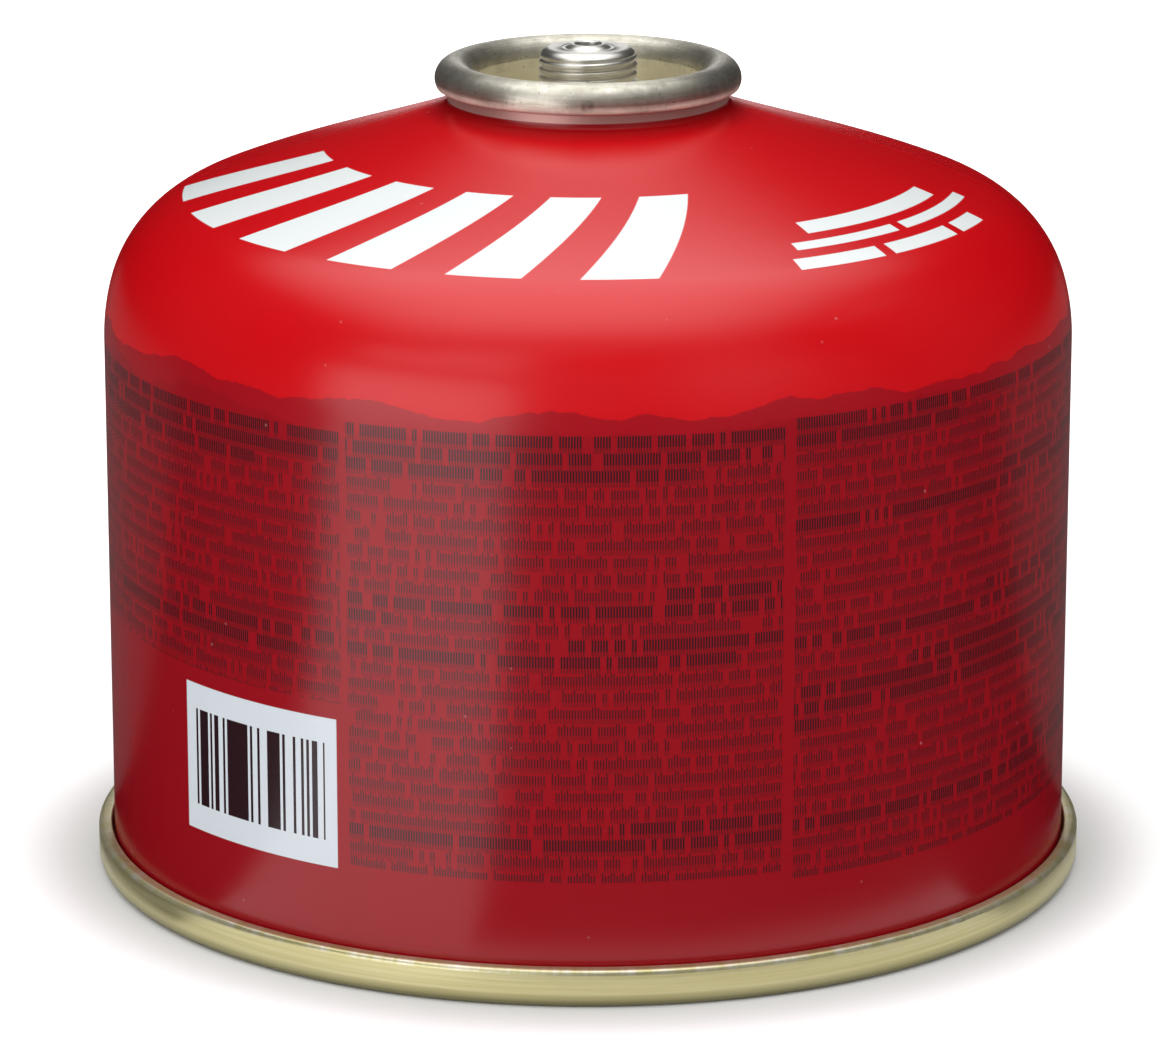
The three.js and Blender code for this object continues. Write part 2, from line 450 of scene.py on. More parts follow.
def makeAroundCan():
    tree, _, out = startGroup("aroundCan", [], [("Turn", "NodeSocketFloat"), ("Height", "NodeSocketFloat"),
                                                ("Radius", "NodeSocketFloat"), ("Ring", "NodeSocketVector")])
    place = put(tree, "ShaderNodeTexCoord").outputs["Object"]
    parts = put(tree, "ShaderNodeSeparateXYZ", {0: place}).outputs
    back = calc(tree, "MULTIPLY", parts["Y"], -1.0)
    turn = calc(tree, "DEGREES", calc(tree, "ARCTAN2", parts["X"], back))
    flat = put(tree, "ShaderNodeCombineXYZ", {"X": parts["X"], "Y": parts["Y"]}).outputs[0]
    length = put(tree, "ShaderNodeVectorMath", {0: flat}, operation="LENGTH").outputs["Value"]
    ring = put(tree, "ShaderNodeVectorMath", {0: flat}, operation="NORMALIZE").outputs[0]
    tree.links.new(turn, out["Turn"])
    tree.links.new(calc(tree, "MULTIPLY", parts["Z"], 1 / mm), out["Height"])
    tree.links.new(calc(tree, "MULTIPLY", length, 1 / mm), out["Radius"])
    tree.links.new(ring, out["Ring"])
    return tree


# Fine lines that run round a turned or drawn piece

def makeDrawnLines():
    tree, inputs, out = startGroup(
        "drawnLines", [("Fineness", "NodeSocketFloat", 8.0), ("Length", "NodeSocketFloat", 2.0)],
        [("Lines", "NodeSocketFloat")])
    around = useGroup(tree, aroundCan)
    ring = put(tree, "ShaderNodeVectorMath", {0: around["Ring"]}, operation="SCALE")
    plug(tree, ring.inputs["Scale"], inputs["Length"])
    across = calc(tree, "MULTIPLY", calc(tree, "ADD", around["Height"], around["Radius"]), inputs["Fineness"])
    lift = put(tree, "ShaderNodeCombineXYZ", {"Z": across}).outputs[0]
    place = put(tree, "ShaderNodeVectorMath", {0: ring.outputs[0], 1: lift}, operation="ADD").outputs[0]
    tree.links.new(noise(tree, place, 1.0, detail=3.0, roughness=0.6), out["Lines"])
    return tree


# Small scattered specks: dust and pits

def makeSpecks():
    tree, inputs, out = startGroup(
        "specks", [("Scale", "NodeSocketFloat", 900.0), ("Amount", "NodeSocketFloat", 0.1),
                   ("Size", "NodeSocketFloat", 0.2)],
        [("Specks", "NodeSocketFloat"), ("Tint", "NodeSocketFloat")])
    place = put(tree, "ShaderNodeTexCoord").outputs["Object"]
    cells = put(tree, "ShaderNodeTexVoronoi", {"Vector": place, "Scale": inputs["Scale"]})
    tint = put(tree, "ShaderNodeSeparateColor", {0: cells.outputs["Color"]}).outputs
    chosen = calc(tree, "LESS_THAN", tint[0], inputs["Amount"])
    dot = remap(tree, cells.outputs["Distance"], inputs["Size"], calc(tree, "MULTIPLY", inputs["Size"], 0.5))
    tree.links.new(calc(tree, "MULTIPLY", chosen, dot), out["Specks"])
    tree.links.new(tint[1], out["Tint"])
    return tree


aroundCan = makeAroundCan()
drawnLines = makeDrawnLines()
specks = makeSpecks()

# Body lacquer and its plain print

lacquer = {
    "red": (0.56, 0.0008, 0.0045, 1),
    "field": (0.335, 0.0015, 0.0075, 1),
    "fieldDeep": (0.262, 0.0012, 0.0065, 1),
    "ink": (0.024, 0.008, 0.011, 1),
    "white": (0.80, 0.84, 0.84, 1),
    "labelWhite": (0.66, 0.71, 0.76, 1),
    # painted shade under the rim's overhang, in the fillet
    "paintedShadeRed": (0.23, 0.0006, 0.0016, 1),
    # bare steel, its pink tint a painted reflection of the red dome
    "bareSteelRedReflection": (0.52, 0.31, 0.28, 1),
    "dust": (0.8, 0.45, 0.45, 1),
    "dustShare": 0.22,
    "paintedRimShade": (85.2, 86.6),   # heights between which painted shade under the rim darkens the red
    "bareEdge": 0.05,
    "bareMetallic": 0.65,
    "bareRougher": 0.2,
    "roughness": 0.24,
    "roughnessSpread": 0.03,
    "specular": 0.45,
    "peel": 0.05,
    "wallFrom": 50.0,           # the radius past which a point is on the wall
    "domeFrom": 70.0,           # and the height past which it is on the dome
}
hills = {
    # height, reach, scale, shift
    "far": (63.9, 3.6, 3.0, 0.0),
    "near": (61.6, 4.2, 4.2, 4.0),
    "nearShare": 0.6,
    "edge": 0.04,
}
stripes = {"from": -82.0, "to": 28.0, "count": 6, "inner": 29.5, "outer": 45.0, "slant": 0.75, "start": 0.05,
           "fill": 0.62}
smallBars = (
    # inner radius, outer radius, from degrees, to degrees
    (37.4, 39.6, 36.0, 72.0),
    (40.9, 42.2, 31.5, 52.0), (40.9, 42.2, 54.0, 78.0),
    (43.6, 45.4, 29.5, 44.0), (43.6, 45.4, 46.0, 61.0), (43.6, 45.4, 63.0, 71.0),
)
columns = (
    # left and right degrees, top and bottom millimetres, seed
    (-179.0, -84.0, 60.6, 13.4, 71.0),
    (-82.0, -28.8, 60.6, 31.0, 3.0),
    (-27.9, 22.2, 61.8, 13.4, 11.0),
    (23.6, 81.0, 62.6, 12.4, 29.0),
    (83.0, 136.0, 60.6, 13.4, 41.0),
    (138.0, 179.0, 60.6, 13.4, 57.0),
)
rows = {"pitch": 1.82, "tall": 1.28, "short": 0.76, "cell": 0.6, "edge": 0.03, "tick": 0.15, "boldTick": 0.185,
        "heading": 1.4, "boldShare": 0.2, "gapShare": 0.16, "runLength": 0.72, "shift": 0.37, "ink": 0.88,
        "boldInk": 0.1,
        "ticks": ((0.25, 0.4), (0.75, 0.3))}    # each tick's place in its cell, and how often it is tall
label = {"left": -53.4, "right": -29.5, "bottom": 12.7, "top": 29.2, "barBottom": 15.6, "barTop": 26.4,
         "bar": 0.36, "barShare": 0.45, "margin": 1.6}


def makeTickRows():
    # rows of fine upright ticks in runs of mixed length, some of them heavier
    tree, inputs, out = startGroup(
        "tickRows", [("Top", "NodeSocketFloat", 60.0), ("Across", "NodeSocketFloat", 0.0),
                     ("Seed", "NodeSocketFloat", 1.0)],
        [("Ink", "NodeSocketFloat"), ("Bold", "NodeSocketFloat")])
    around = useGroup(tree, aroundCan)
    arc = calc(tree, "MULTIPLY", around["Turn"], can["bodyRadius"] * pi / 180)
    down = calc(tree, "DIVIDE", calc(tree, "SUBTRACT", inputs["Top"], around["Height"]), rows["pitch"])
    row = calc(tree, "FLOOR", down)
    up = remap(tree, calc(tree, "SUBTRACT", down, row), rows["tall"] / rows["pitch"], 0.0)
    seeded = calc(tree, "ADD", row, inputs["Seed"])
    shifted = calc(tree, "ADD", calc(tree, "DIVIDE", arc, rows["cell"]),
                   calc(tree, "MULTIPLY", seeded, rows["shift"]))
    cell = calc(tree, "FLOOR", shifted)
    inCell = calc(tree, "SUBTRACT", shifted, cell)
    key = put(tree, "ShaderNodeCombineXYZ", {"X": cell, "Y": seeded}).outputs[0]
    chance = put(tree, "ShaderNodeTexWhiteNoise", {"Vector": key}, noise_dimensions="2D")
    dice = put(tree, "ShaderNodeSeparateColor", {0: chance.outputs["Color"]}).outputs
    inRun = calc(tree, "GREATER_THAN", chance.outputs["Value"], rows["gapShare"])
    reading = calc(tree, "ADD", row, inputs["Across"])
    run = calc(tree, "FLOOR", calc(tree, "MULTIPLY", reading, rows["runLength"]))
    runKey = calc(tree, "ADD", run, inputs["Seed"])
    runDice = put(tree, "ShaderNodeTexWhiteNoise", {"W": runKey}, noise_dimensions="1D").outputs["Value"]
    bold = calc(tree, "MAXIMUM", calc(tree, "LESS_THAN", runDice, rows["boldShare"]),
                calc(tree, "LESS_THAN", reading, rows["heading"]))
    half = calc(tree, "ADD", rows["tick"] / 2 / rows["cell"],
                calc(tree, "MULTIPLY", bold, (rows["boldTick"] - rows["tick"]) / 2 / rows["cell"]))
    ticks = 0.0
    for (middle, tallShare), value in zip(rows["ticks"], (dice[0], dice[1])):
        tall = calc(tree, "MAXIMUM", bold, calc(tree, "LESS_THAN", value, tallShare))
        height = calc(tree, "MAXIMUM", tall, rows["short"])
        across = between(tree, inCell, calc(tree, "SUBTRACT", middle, half), calc(tree, "ADD", middle, half),
                         rows["edge"])
        tick = calc(tree, "MULTIPLY", across, between(tree, up, 0.0, height, rows["edge"]))
        ticks = calc(tree, "MAXIMUM", ticks, tick)
    tree.links.new(calc(tree, "MULTIPLY", ticks, inRun), out["Ink"])
    tree.links.new(bold, out["Bold"])
    return tree


def hillEdge(tree, ring, height, reach, scale, shift):
    # height of a generic rolling skyline round the can
    place = put(tree, "ShaderNodeVectorMath", {0: ring, 1: (0, 0, shift)}, operation="ADD").outputs[0]
    rolling = noise(tree, place, scale, detail=5.0, roughness=0.55)
    return calc(tree, "ADD", height - reach, calc(tree, "MULTIPLY", rolling, 2 * reach))


def makeLacquer():
    material, tree, shader = newMaterial("red_lacquer_on_steel")
    around = useGroup(tree, aroundCan)
    turn, height, radius, ring = (around[k] for k in ("Turn", "Height", "Radius", "Ring"))
    onWall = calc(tree, "GREATER_THAN", radius, lacquer["wallFrom"])

    # the dark field with its two overlapping hill lines
    fields = []
    for key in ("far", "near"):
        below = calc(tree, "SUBTRACT", height, hillEdge(tree, ring, *hills[key]))
        fields.append(calc(tree, "MULTIPLY", remap(tree, below, hills["edge"], -hills["edge"]), onWall))
    colour = blendColour(tree, fields[0], lacquer["red"], lacquer["field"])
    nearField = calc(tree, "MULTIPLY", fields[1], hills["nearShare"])
    colour = blendColour(tree, nearField, colour, lacquer["fieldDeep"])

    # the columns of ticks: each sum holds the value of the one column that the point is in
    inColumn = across = topEdge = seeds = 0.0
    for left, right, top, bottom, seed in columns:
        inside = calc(tree, "MULTIPLY", between(tree, turn, left, right, soft=0.01),
                      between(tree, height, bottom, top, soft=0.01))
        share = calc(tree, "MULTIPLY", remap(tree, turn, left, right), inside)
        inColumn = calc(tree, "ADD", inColumn, inside)
        across = calc(tree, "ADD", across, share)
        topEdge = calc(tree, "ADD", topEdge, calc(tree, "MULTIPLY", inside, top))
        seeds = calc(tree, "ADD", seeds, calc(tree, "MULTIPLY", inside, seed))
    printed = useGroup(tree, tickRows, Top=topEdge, Across=across, Seed=seeds)
    strength = calc(tree, "ADD", rows["ink"], calc(tree, "MULTIPLY", printed["Bold"], rows["boldInk"]))
    ink = calc(tree, "MULTIPLY", calc(tree, "MULTIPLY", printed["Ink"], inColumn), strength)
    colour = blendColour(tree, calc(tree, "MULTIPLY", ink, onWall), colour, lacquer["ink"])

    # slanting stripes and short bars on the dome
    span = (stripes["to"] - stripes["from"]) / stripes["count"]
    lean = calc(tree, "MULTIPLY", calc(tree, "SUBTRACT", radius, stripes["inner"]), stripes["slant"])
    along = calc(tree, "DIVIDE", calc(tree, "SUBTRACT", calc(tree, "ADD", turn, lean), stripes["from"]), span)
    stripe = between(tree, calc(tree, "FRACT", along), stripes["start"], stripes["fill"], soft=0.006)
    stripe = calc(tree, "MULTIPLY", stripe, between(tree, along, 0.0, float(stripes["count"]), soft=0.001))
    inBand = between(tree, radius, stripes["inner"], stripes["outer"], soft=0.05)
    white = calc(tree, "MULTIPLY", stripe, inBand)
    for inner, outer, start, end in smallBars:
        bar = calc(tree, "MULTIPLY", between(tree, radius, inner, outer, soft=0.05),
                   between(tree, turn, start, end, soft=0.08))
        white = calc(tree, "MAXIMUM", white, bar)
    white = calc(tree, "MULTIPLY", white, calc(tree, "GREATER_THAN", height, lacquer["domeFrom"]))
    colour = blendColour(tree, white, colour, lacquer["white"])

    # a plain striped label low on the left
    labelArea = calc(tree, "MULTIPLY", between(tree, turn, label["left"], label["right"], soft=0.04),
                     between(tree, height, label["bottom"], label["top"], soft=0.03))
    labelArea = calc(tree, "MULTIPLY", labelArea, onWall)
    arc = calc(tree, "MULTIPLY", turn, can["bodyRadius"] * pi / 180)
    barCell = calc(tree, "FLOOR", calc(tree, "DIVIDE", arc, label["bar"]))
    barDice = put(tree, "ShaderNodeTexWhiteNoise", {"W": barCell}, noise_dimensions="1D").outputs["Value"]
    bars = calc(tree, "MULTIPLY", calc(tree, "GREATER_THAN", barDice, label["barShare"]),
                between(tree, height, label["barBottom"], label["barTop"], soft=0.03))
    barsFrom, barsTo = label["left"] + label["margin"], label["right"] - label["margin"]
    bars = calc(tree, "MULTIPLY", bars, between(tree, turn, barsFrom, barsTo, soft=0.02))
    labelColour = blendColour(tree, bars, lacquer["labelWhite"], lacquer["ink"])
    colour = blendColour(tree, labelArea, colour, labelColour)

    # painted shade: the red is darkened in the fillet under the rim's overhang, and above its edge the neck is
    # bare metal
    paintedRimShade = remap(tree, height, *lacquer["paintedRimShade"])
    colour = blendColour(tree, paintedRimShade, colour, lacquer["paintedShadeRed"])
    # the neck's pink is a painted reflection of the red dome on bare metal
    bare = remap(tree, height, body["neckFoot"] - lacquer["bareEdge"], body["neckFoot"] + lacquer["bareEdge"])
    colour = blendColour(tree, bare, colour, lacquer["bareSteelRedReflection"])
    dust = useGroup(tree, specks, Scale=620.0, Amount=0.03, Size=0.13)
    dusty = calc(tree, "MULTIPLY", dust["Specks"], calc(tree, "MULTIPLY", dust["Tint"], lacquer["dustShare"]))
    colour = blendColour(tree, dusty, colour, lacquer["dust"])
    plug(tree, shader.inputs["Base Color"], colour)
    plug(tree, shader.inputs["Metallic"], calc(tree, "MULTIPLY", bare, lacquer["bareMetallic"]))

    # satin with a faint orange peel
    place = put(tree, "ShaderNodeTexCoord").outputs["Object"]
    peel = noise(tree, place, 900.0)
    broad = noise(tree, place, 60.0)
    spread = lacquer["roughnessSpread"]
    roughness = remap(tree, broad, 0.0, 1.0, lacquer["roughness"] - spread, lacquer["roughness"] + spread)
    rougher = calc(tree, "MULTIPLY", bare, lacquer["bareRougher"])
    plug(tree, shader.inputs["Roughness"], calc(tree, "ADD", roughness, rougher))
    shader.inputs["Specular IOR Level"].default_value = lacquer["specular"]
    bump = put(tree, "ShaderNodeBump", {"Height": peel, "Strength": lacquer["peel"], "Distance": 0.1 * mm})
    plug(tree, shader.inputs["Normal"], bump.outputs[0])
    return material


# Gold lacquer of the base end

gold = {
    "colour": (0.55, 0.50, 0.235, 1),
    "pale": (0.68, 0.63, 0.36, 1),
    "worn": (0.80, 0.76, 0.68, 1),
    "scuff": (0.11, 0.095, 0.06, 1),
    # painted shade on the foot's rounding
    "edge": (0.14, 0.125, 0.06, 1),
    "wornBand": (3.75, 4.3),
    "wornShare": 0.8,
    "footShadeBand": (1.7, 0.6),
    "footShadeShare": 0.75,
    "scuffShare": 0.75,
    "metallic": 0.74,
    "roughness": 0.33,
}


def makeGoldLacquer():
    material, tree, shader = newMaterial("pale_gold_lacquer")
    around = useGroup(tree, aroundCan)
    lines = useGroup(tree, drawnLines, Fineness=3.0, Length=2.4)["Lines"]
    colour = blendColour(tree, remap(tree, lines, 0.3, 0.7), gold["colour"], gold["pale"])

    # bright metal where the seaming roll rubbed the upper edge, broken up along it
    topEdge = between(tree, around["Height"], *gold["wornBand"], soft=0.2)
    broken = noise(tree, around["Ring"], 22.0, detail=4.0, roughness=0.7)
    worn = calc(tree, "MULTIPLY", topEdge, remap(tree, broken, 0.42, 0.62))
    colour = blendColour(tree, calc(tree, "MULTIPLY", worn, gold["wornShare"]), colour, gold["worn"])

    # painted shade: the foot's rounding is dull and darker, standing in for the shadowed floor that it mirrors
    foot = remap(tree, around["Height"], *gold["footShadeBand"])
    colour = blendColour(tree, calc(tree, "MULTIPLY", foot, gold["footShadeShare"]), colour, gold["edge"])

    # short dark scuffs that run round the seam
    scuffLines = useGroup(tree, drawnLines, Fineness=2.2, Length=9.0)["Lines"]
    patches = noise(tree, around["Ring"], 5.0)
    scuffs = calc(tree, "MULTIPLY", remap(tree, scuffLines, 0.66, 0.74), remap(tree, patches, 0.5, 0.64))
    colour = blendColour(tree, calc(tree, "MULTIPLY", scuffs, gold["scuffShare"]), colour, gold["scuff"])
    plug(tree, shader.inputs["Base Color"], colour)
    shader.inputs["Metallic"].default_value = gold["metallic"]
    roughness = remap(tree, lines, 0.3, 0.7, gold["roughness"] - 0.05, gold["roughness"] + 0.09)
    plug(tree, shader.inputs["Roughness"], roughness)
    bump = put(tree, "ShaderNodeBump", {"Height": lines, "Strength": 0.25, "Distance": 0.03 * mm})
    fine = useGroup(tree, drawnLines, Fineness=18.0, Length=6.0)["Lines"]
    brushed = put(tree, "ShaderNodeBump", {"Height": fine, "Strength": 0.5, "Distance": 0.012 * mm,
                                           "Normal": bump.outputs[0]})
    plug(tree, shader.inputs["Normal"], brushed.outputs[0])
    return material


# Tinplate of the valve cup

tin = {
    "bright": (0.70, 0.675, 0.59, 1),
    "dull": (0.50, 0.475, 0.39, 1),
    "inside": (0.64, 0.58, 0.39, 1),
    "boss": (0.72, 0.70, 0.65, 1),
    "pit": (0.09, 0.075, 0.055, 1),
    "metallic": 0.92,
    "anisotropy": 0.75,
    "rubbed": 0.25,             # a quarter turn, so that the shine spreads across the lines
    "roughness": 0.43,
    "bossRoughness": 0.3,
    "insideRadius": 12.95,
    "insideTop": 89.0,
    "insideShare": 0.9,
    "insideMatt": 0.5,
    "rimFrom": 88.0,
    "hemRadius": 15.8,
    "hemBand": (89.0, 88.5),
    "hemMatt": 0.7,
    "pitShare": 0.75,
    "stainShare": 0.3,
    "markShare": 0.75,
    "markTurn": (-2.4, 1.9),
    "markHeight": (88.5, 89.5),
}


def makeTinplate():
    material, tree, shader = newMaterial("bright_tinplate")
    around = useGroup(tree, aroundCan)
    turn, height, radius = around["Turn"], around["Height"], around["Radius"]
    lines = useGroup(tree, drawnLines, Fineness=5.0, Length=3.0)["Lines"]
    place = put(tree, "ShaderNodeTexCoord").outputs["Object"]
    clouds = noise(tree, place, 420.0, detail=4.0, roughness=0.65)
    mottled = calc(tree, "MULTIPLY", calc(tree, "ADD", lines, clouds), 0.5)
    colour = blendColour(tree, remap(tree, mottled, 0.38, 0.62), tin["dull"], tin["bright"])
    insideCup = calc(tree, "MULTIPLY", calc(tree, "LESS_THAN", radius, tin["insideRadius"]),
                     calc(tree, "LESS_THAN", height, tin["insideTop"]))
    onBoss = calc(tree, "LESS_THAN", radius, cup["bossRadius"] + 0.05)
    offBoss = calc(tree, "SUBTRACT", 1.0, onBoss)
    colour = blendColour(tree, calc(tree, "MULTIPLY", insideCup, tin["insideShare"]), colour, tin["inside"])
    colour = blendColour(tree, onBoss, colour, tin["boss"])

    # small pits, darker stains round the rim, and one worn mark on its front
    pits = useGroup(tree, specks, Scale=2600.0, Amount=0.26, Size=0.3)
    pitted = calc(tree, "MULTIPLY", pits["Specks"], remap(tree, clouds, 0.45, 0.6))
    pitted = calc(tree, "MULTIPLY", pitted, offBoss)
    stained = remap(tree, noise(tree, place, 170.0, detail=5.0, roughness=0.75), 0.47, 0.66)
    stained = calc(tree, "MULTIPLY", stained, calc(tree, "GREATER_THAN", height, tin["rimFrom"]))
    stained = calc(tree, "MULTIPLY", stained, offBoss)
    marked = calc(tree, "MULTIPLY", between(tree, turn, *tin["markTurn"], soft=0.8),
                  between(tree, height, *tin["markHeight"], soft=0.3))
    marked = calc(tree, "MULTIPLY", marked, remap(tree, clouds, 0.3, 0.5))
    for mask, share in ((pitted, tin["pitShare"]), (stained, tin["stainShare"]), (marked, tin["markShare"])):
        colour = blendColour(tree, calc(tree, "MULTIPLY", mask, share), colour, tin["pit"])
    plug(tree, shader.inputs["Base Color"], colour)

    # the cup's inside and the rim's hem are matt
    hem = calc(tree, "MULTIPLY", remap(tree, height, *tin["hemBand"]),
               calc(tree, "GREATER_THAN", radius, tin["hemRadius"]))
    matt = calc(tree, "MAXIMUM", calc(tree, "MULTIPLY", insideCup, tin["insideMatt"]),
                calc(tree, "MULTIPLY", hem, tin["hemMatt"]))
    plug(tree, shader.inputs["Metallic"], calc(tree, "SUBTRACT", tin["metallic"], matt))
    shader.inputs["Anisotropic"].default_value = tin["anisotropy"]
    shader.inputs["Anisotropic Rotation"].default_value = tin["rubbed"]
    plain = remap(tree, mottled, 0.35, 0.65, tin["roughness"] + 0.08, tin["roughness"] - 0.05)
    plug(tree, shader.inputs["Roughness"], blendValue(tree, onBoss, plain, tin["bossRoughness"]))
    grain = calc(tree, "ADD", lines, calc(tree, "MULTIPLY", pitted, -1.0))
    bump = put(tree, "ShaderNodeBump", {"Height": grain, "Strength": 0.3, "Distance": 0.03 * mm})
    plug(tree, shader.inputs["Normal"], bump.outputs[0])
    return material


# Rubber of the stem seal

rubber = {"colour": (0.012, 0.011, 0.011, 1), "bloom": (0.03, 0.028, 0.026, 1), "roughness": 0.6}


def makeRubber():
    material, tree, shader = newMaterial("black_rubber")
    place = put(tree, "ShaderNodeTexCoord").outputs["Object"]
    dusty = noise(tree, place, 1500.0, detail=3.0)
    plug(tree, shader.inputs["Base Color"], blendColour(tree, dusty, rubber["colour"], rubber["bloom"]))
    plug(tree, shader.inputs["Roughness"], remap(tree, dusty, 0.3, 0.7, rubber["roughness"] - 0.1,
                                                 rubber["roughness"] + 0.1))
    bump = put(tree, "ShaderNodeBump", {"Height": dusty, "Strength": 0.2, "Distance": 0.03 * mm})
    plug(tree, shader.inputs["Normal"], bump.outputs[0])
    return material


print("mixing the finishes")
tickRows = makeTickRows()
finishes = {
    "can_body": makeLacquer(),
    "base_end": makeGoldLacquer(),
    "valve_cup": makeTinplate(),
    "stem_seal": makeRubber(),
}
pieces = ((bodyShell, "can_body"), (baseSeamEnd, "base_end"), (valveCup, "valve_cup"), (stemSeal, "stem_seal"))
for piece, nodeName in pieces:
    piece.data.materials.clear()
    piece.data.materials.append(finishes[nodeName])
    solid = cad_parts[nodeName]
    solid.data.materials.clear()
    solid.data.materials.append(finishes[nodeName])


# Studio: camera, floor, world, lamps, panels and cards

view = {
    "lens": 177.436,
    "sensor": 36.0,
    "distance": 649.613,    # millimetres from the can's axis at the height of aim
    "lift": 14.587,         # degrees up, and tilt is how much further down it looks
    "tilt": 0.69,
    "aim": 45.0,
    "aside": -0.338,
}


def addCamera():
    data = bpy.data.cameras.new("photo_camera")
    data.lens = view["lens"]
    data.sensor_width = view["sensor"]
    data.clip_start = 0.01
    data.clip_end = 20
    camera = bpy.data.objects.new("photo_camera", data)
    bpy.context.scene.collection.objects.link(camera)
    lift = radians(view["lift"])
    camera.location = (view["aside"] * mm, -view["distance"] * mm * cos(lift),
                       (view["aim"] + view["distance"] * sin(lift)) * mm)
    camera.rotation_euler = (pi / 2 - radians(view["lift"] + view["tilt"]), 0, 0)
    bpy.context.scene.camera = camera


floorLook = {
    # lengths in metres
    "size": 8.0,
    "colour": (0.78, 0.78, 0.78, 1),
    "roughness": 0.9,
    "glow": 0.42,
    "farGlow": 1.0,
    "shadowFrom": 0.0555,
    "shadowTo": 0.068,
    "far": 0.45,
}


def seenOrMirrored(tree):
    # 1 for rays from the camera and for those that are mirrored or pass through glass
    path = put(tree, "ShaderNodeLightPath").outputs
    seen = calc(tree, "MAXIMUM", path["Is Camera Ray"], path["Is Transmission Ray"])
    return calc(tree, "MAXIMUM", seen, path["Is Glossy Ray"])


def addFloor():
    bpy.ops.object.select_all(action="DESELECT")
    bpy.ops.mesh.primitive_plane_add(size=floorLook["size"])
    floor = bpy.context.object
    floor.name = "studio_floor"
    material, tree, shader = newMaterial("white_floor")
    place = put(tree, "ShaderNodeTexCoord").outputs["Object"]
    away = put(tree, "ShaderNodeVectorMath", {0: place}, operation="LENGTH").outputs["Value"]

    # seen directly or mirrored the floor glows and runs into a white background; the glow fades out at the
    # can's foot, a painted shadow ring over the real shadow there
    near = remap(tree, away, floorLook["shadowFrom"], floorLook["shadowTo"], shape="SMOOTHSTEP")
    spread = remap(tree, away, floorLook["shadowTo"], floorLook["far"], floorLook["glow"], floorLook["farGlow"])
    glow = calc(tree, "MULTIPLY", seenOrMirrored(tree), calc(tree, "MULTIPLY", near, spread))
    shader.inputs["Base Color"].default_value = floorLook["colour"]
    shader.inputs["Roughness"].default_value = floorLook["roughness"]
    shader.inputs["Specular IOR Level"].default_value = 0.0
    shader.inputs["Emission Color"].default_value = (1, 1, 1, 1)
    plug(tree, shader.inputs["Emission Strength"], glow)
    floor.data.materials.append(material)


worldLook = {"seen": 1.0, "fill": 0.25}


def addWorld():
    world = bpy.data.worlds.new("white_studio")
    bpy.context.scene.world = world
    world.use_nodes = True
    tree = world.node_tree
    strength = blendValue(tree, seenOrMirrored(tree), worldLook["fill"], worldLook["seen"])
    plug(tree, tree.nodes["Background"].inputs["Strength"], strength)
    tree.nodes["Background"].inputs["Color"].default_value = (1, 1, 1, 1)


lamps = (
    # lamps that light the can but aren't mirrored in it:
    # name, degrees round from the camera, distance and height in metres, width, height, radiance
    ("left_lamp", -36.0, 0.95, 0.52, 0.80, 0.80, 2.15),
    ("right_lamp", 37.0, 0.95, 0.52, 0.50, 0.70, 2.0),
    ("front_lamp", 5.0, 1.20, 0.45, 0.60, 0.60, 1.0),
    ("left_side_lamp", -105.0, 0.95, 0.45, 0.60, 0.80, 0.7),
    ("right_side_lamp", 100.0, 0.95, 0.45, 0.60, 0.80, 0.7),
    ("back_lamp", 180.0, 1.10, 0.60, 0.90, 0.80, 0.8),
)
roof = {"height": 0.95, "front": -0.72, "back": 0.58, "width": 1.3, "radiance": 1.35}
panels = (
    # softboxes that are only mirrored:
    # name, place and aim in metres, width, height, radiance, soft share across and up
    ("roof_panel", (-0.06, 0.12, 0.93), (-0.06, 0.12, 0.0), 1.8, 1.9, 2.8, 0.85, 0.75),
    ("left_panel", (-0.566, -0.70, 0.0), (0.0, 0.0, 0.0), 0.92, 0.96, 2.4, 0.4, 0.56),
    ("right_panel", (0.67, -0.67, 0.2), (0.0, 0.0, 0.2), 1.2, 0.9, 0.14, 0.5, 0.5),
)
black, grey = 0.004, 0.11
farEdge = (1.3, 0.0004)     # reach and height of a card's outer edge, in metres
flagEdges = ((1.3, 0.0), (0.98, 1.0))
cards = (
    # dark cards on the floor and upright flags round the glossy can, seen only in reflections:
    # name, shade, from and to degrees, then reach and height of each edge
    ("front_card", black, -17.0, 60.0, (0.070, 0.0004), farEdge),
    ("right_card", black, 60.0, 105.0, (0.060, 0.0004), farEdge),
    ("right_grey_card", grey, 105.0, 156.0, (0.059, 0.0004), farEdge),
    ("back_card", black, 156.0, 204.0, (0.059, 0.0004), farEdge),
    ("left_grey_card", grey, 204.0, 255.0, (0.058, 0.0004), farEdge),
    ("left_card", black, 255.0, 303.0, (0.058, 0.0004), farEdge),
    ("right_flag", black, -17.0, 174.0, *flagEdges),
    ("left_flag", black, 186.0, 303.0, *flagEdges),
)
cardSteps = 24


def aimed(place, aim):
    return (Vector(aim) - Vector(place)).to_track_quat("-Z", "Y").to_euler()


def addLamp(name, place, aim, width, height, radiance):
    data = bpy.data.lights.new(name, "AREA")
    data.shape = "RECTANGLE"
    data.size = width
    data.size_y = height
    data.energy = radiance * pi * width * height
    lamp = bpy.data.objects.new(name, data)
    bpy.context.scene.collection.objects.link(lamp)
    lamp.location = place
    lamp.rotation_euler = aimed(place, aim)
    lamp.visible_camera = False
    lamp.visible_glossy = False


def addLamps():
    for name, turn, distance, up, width, height, radiance in lamps:
        place = (distance * sin(radians(turn)), -distance * cos(radians(turn)), up)
        addLamp(name, place, (0, 0, 0.05), width, height, radiance)
    middle = (roof["front"] + roof["back"]) / 2
    deep = roof["back"] - roof["front"]
    addLamp("roof_lamp", (0, middle, roof["height"]), (0, middle, 0), roof["width"], deep, roof["radiance"])


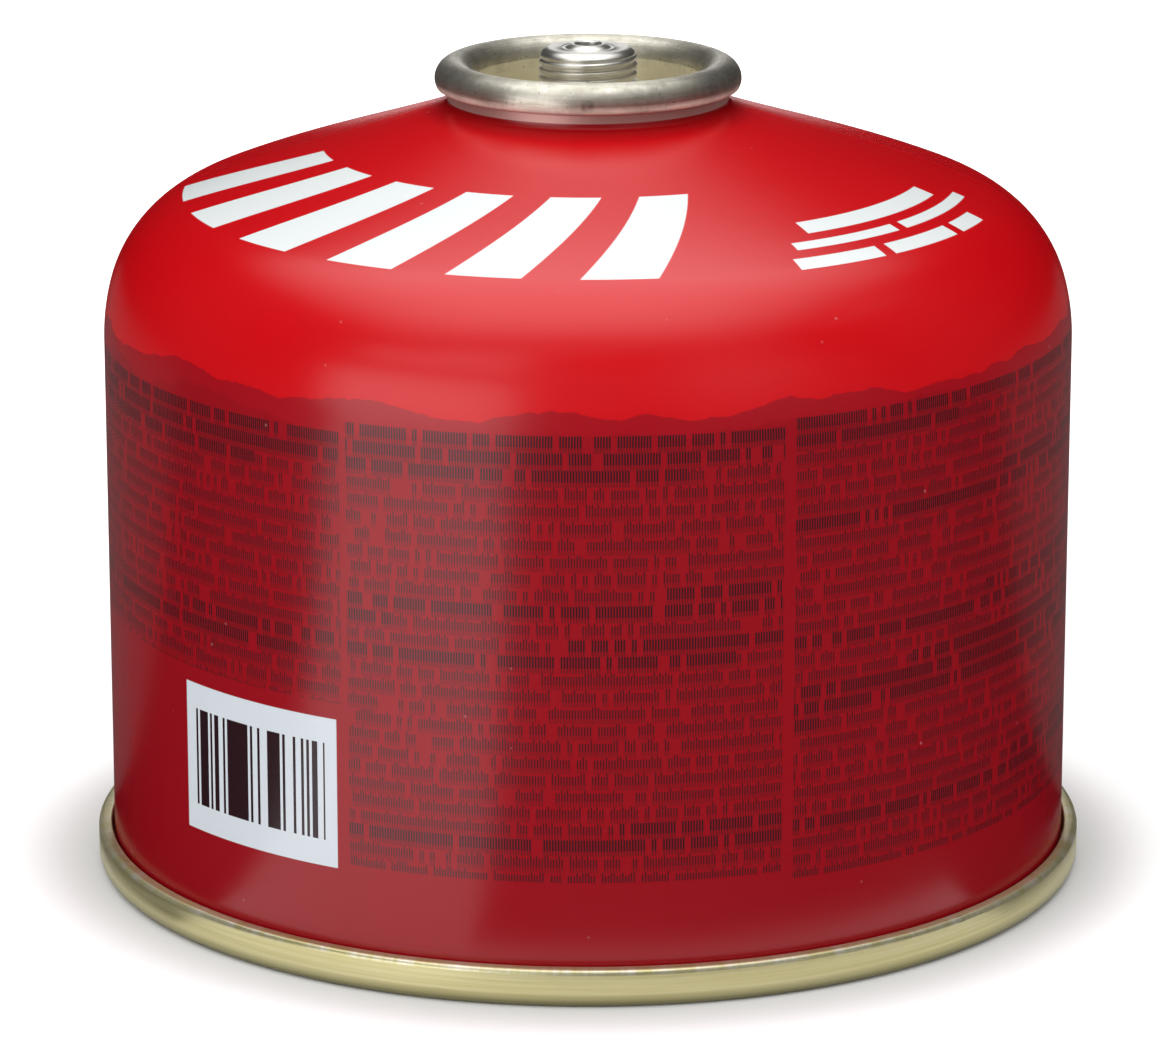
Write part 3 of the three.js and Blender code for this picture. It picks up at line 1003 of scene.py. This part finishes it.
def onlyMirrored(thing):
    for ray in ("camera", "diffuse", "transmission", "volume_scatter", "shadow"):
        setattr(thing, "visible_" + ray, False)


def addPanels():
    for name, place, aim, width, height, radiance, softAcross, softUp in panels:
        bpy.ops.object.select_all(action="DESELECT")
        bpy.ops.mesh.primitive_plane_add(size=2, location=place, rotation=aimed(place, aim))
        panel = bpy.context.object
        panel.name = name
        panel.scale = (width / 2, height / 2, 1)
        material, tree, shader = newMaterial(name + "_light")
        here = put(tree, "ShaderNodeTexCoord").outputs["Object"]
        parts = put(tree, "ShaderNodeSeparateXYZ", {0: here}).outputs
        light = radiance
        for axis, soft in (("X", softAcross), ("Y", softUp)):
            # the panel's edge is at 1, because its plane is 2 wide before it is scaled
            edge = remap(tree, calc(tree, "ABSOLUTE", parts[axis]), 1.0, 1.0 - soft, shape="SMOOTHSTEP")
            light = calc(tree, "MULTIPLY", light, edge)
        shader.inputs["Base Color"].default_value = (0, 0, 0, 1)
        shader.inputs["Specular IOR Level"].default_value = 0.0
        shader.inputs["Emission Color"].default_value = (1, 1, 1, 1)
        plug(tree, shader.inputs["Emission Strength"], light)
        panel.data.materials.append(material)
        onlyMirrored(panel)


def addCards():
    for name, shade, start, end, first, last in cards:
        material, tree, shader = newMaterial(name)
        shader.inputs["Base Color"].default_value = (shade, shade, shade, 1)
        shader.inputs["Roughness"].default_value = 1.0
        shader.inputs["Specular IOR Level"].default_value = 0.0
        turns = [radians(start + (end - start) * k / cardSteps) for k in range(cardSteps + 1)]
        corners = []
        for reach, height in (first, last):
            corners += [(reach * sin(turn), -reach * cos(turn), height) for turn in turns]
        faces = [(k, k + 1, k + cardSteps + 2, k + cardSteps + 1) for k in range(cardSteps)]
        mesh = bpy.data.meshes.new(name)
        mesh.from_pydata(corners, [], faces)
        mesh.materials.append(material)
        card = bpy.data.objects.new(name, mesh)
        bpy.context.scene.collection.objects.link(card)
        onlyMirrored(card)


print("setting up the studio")
addCamera()
addFloor()
addWorld()
addLamps()
addPanels()
addCards()
bpy.context.scene.view_settings.view_transform = "Standard"
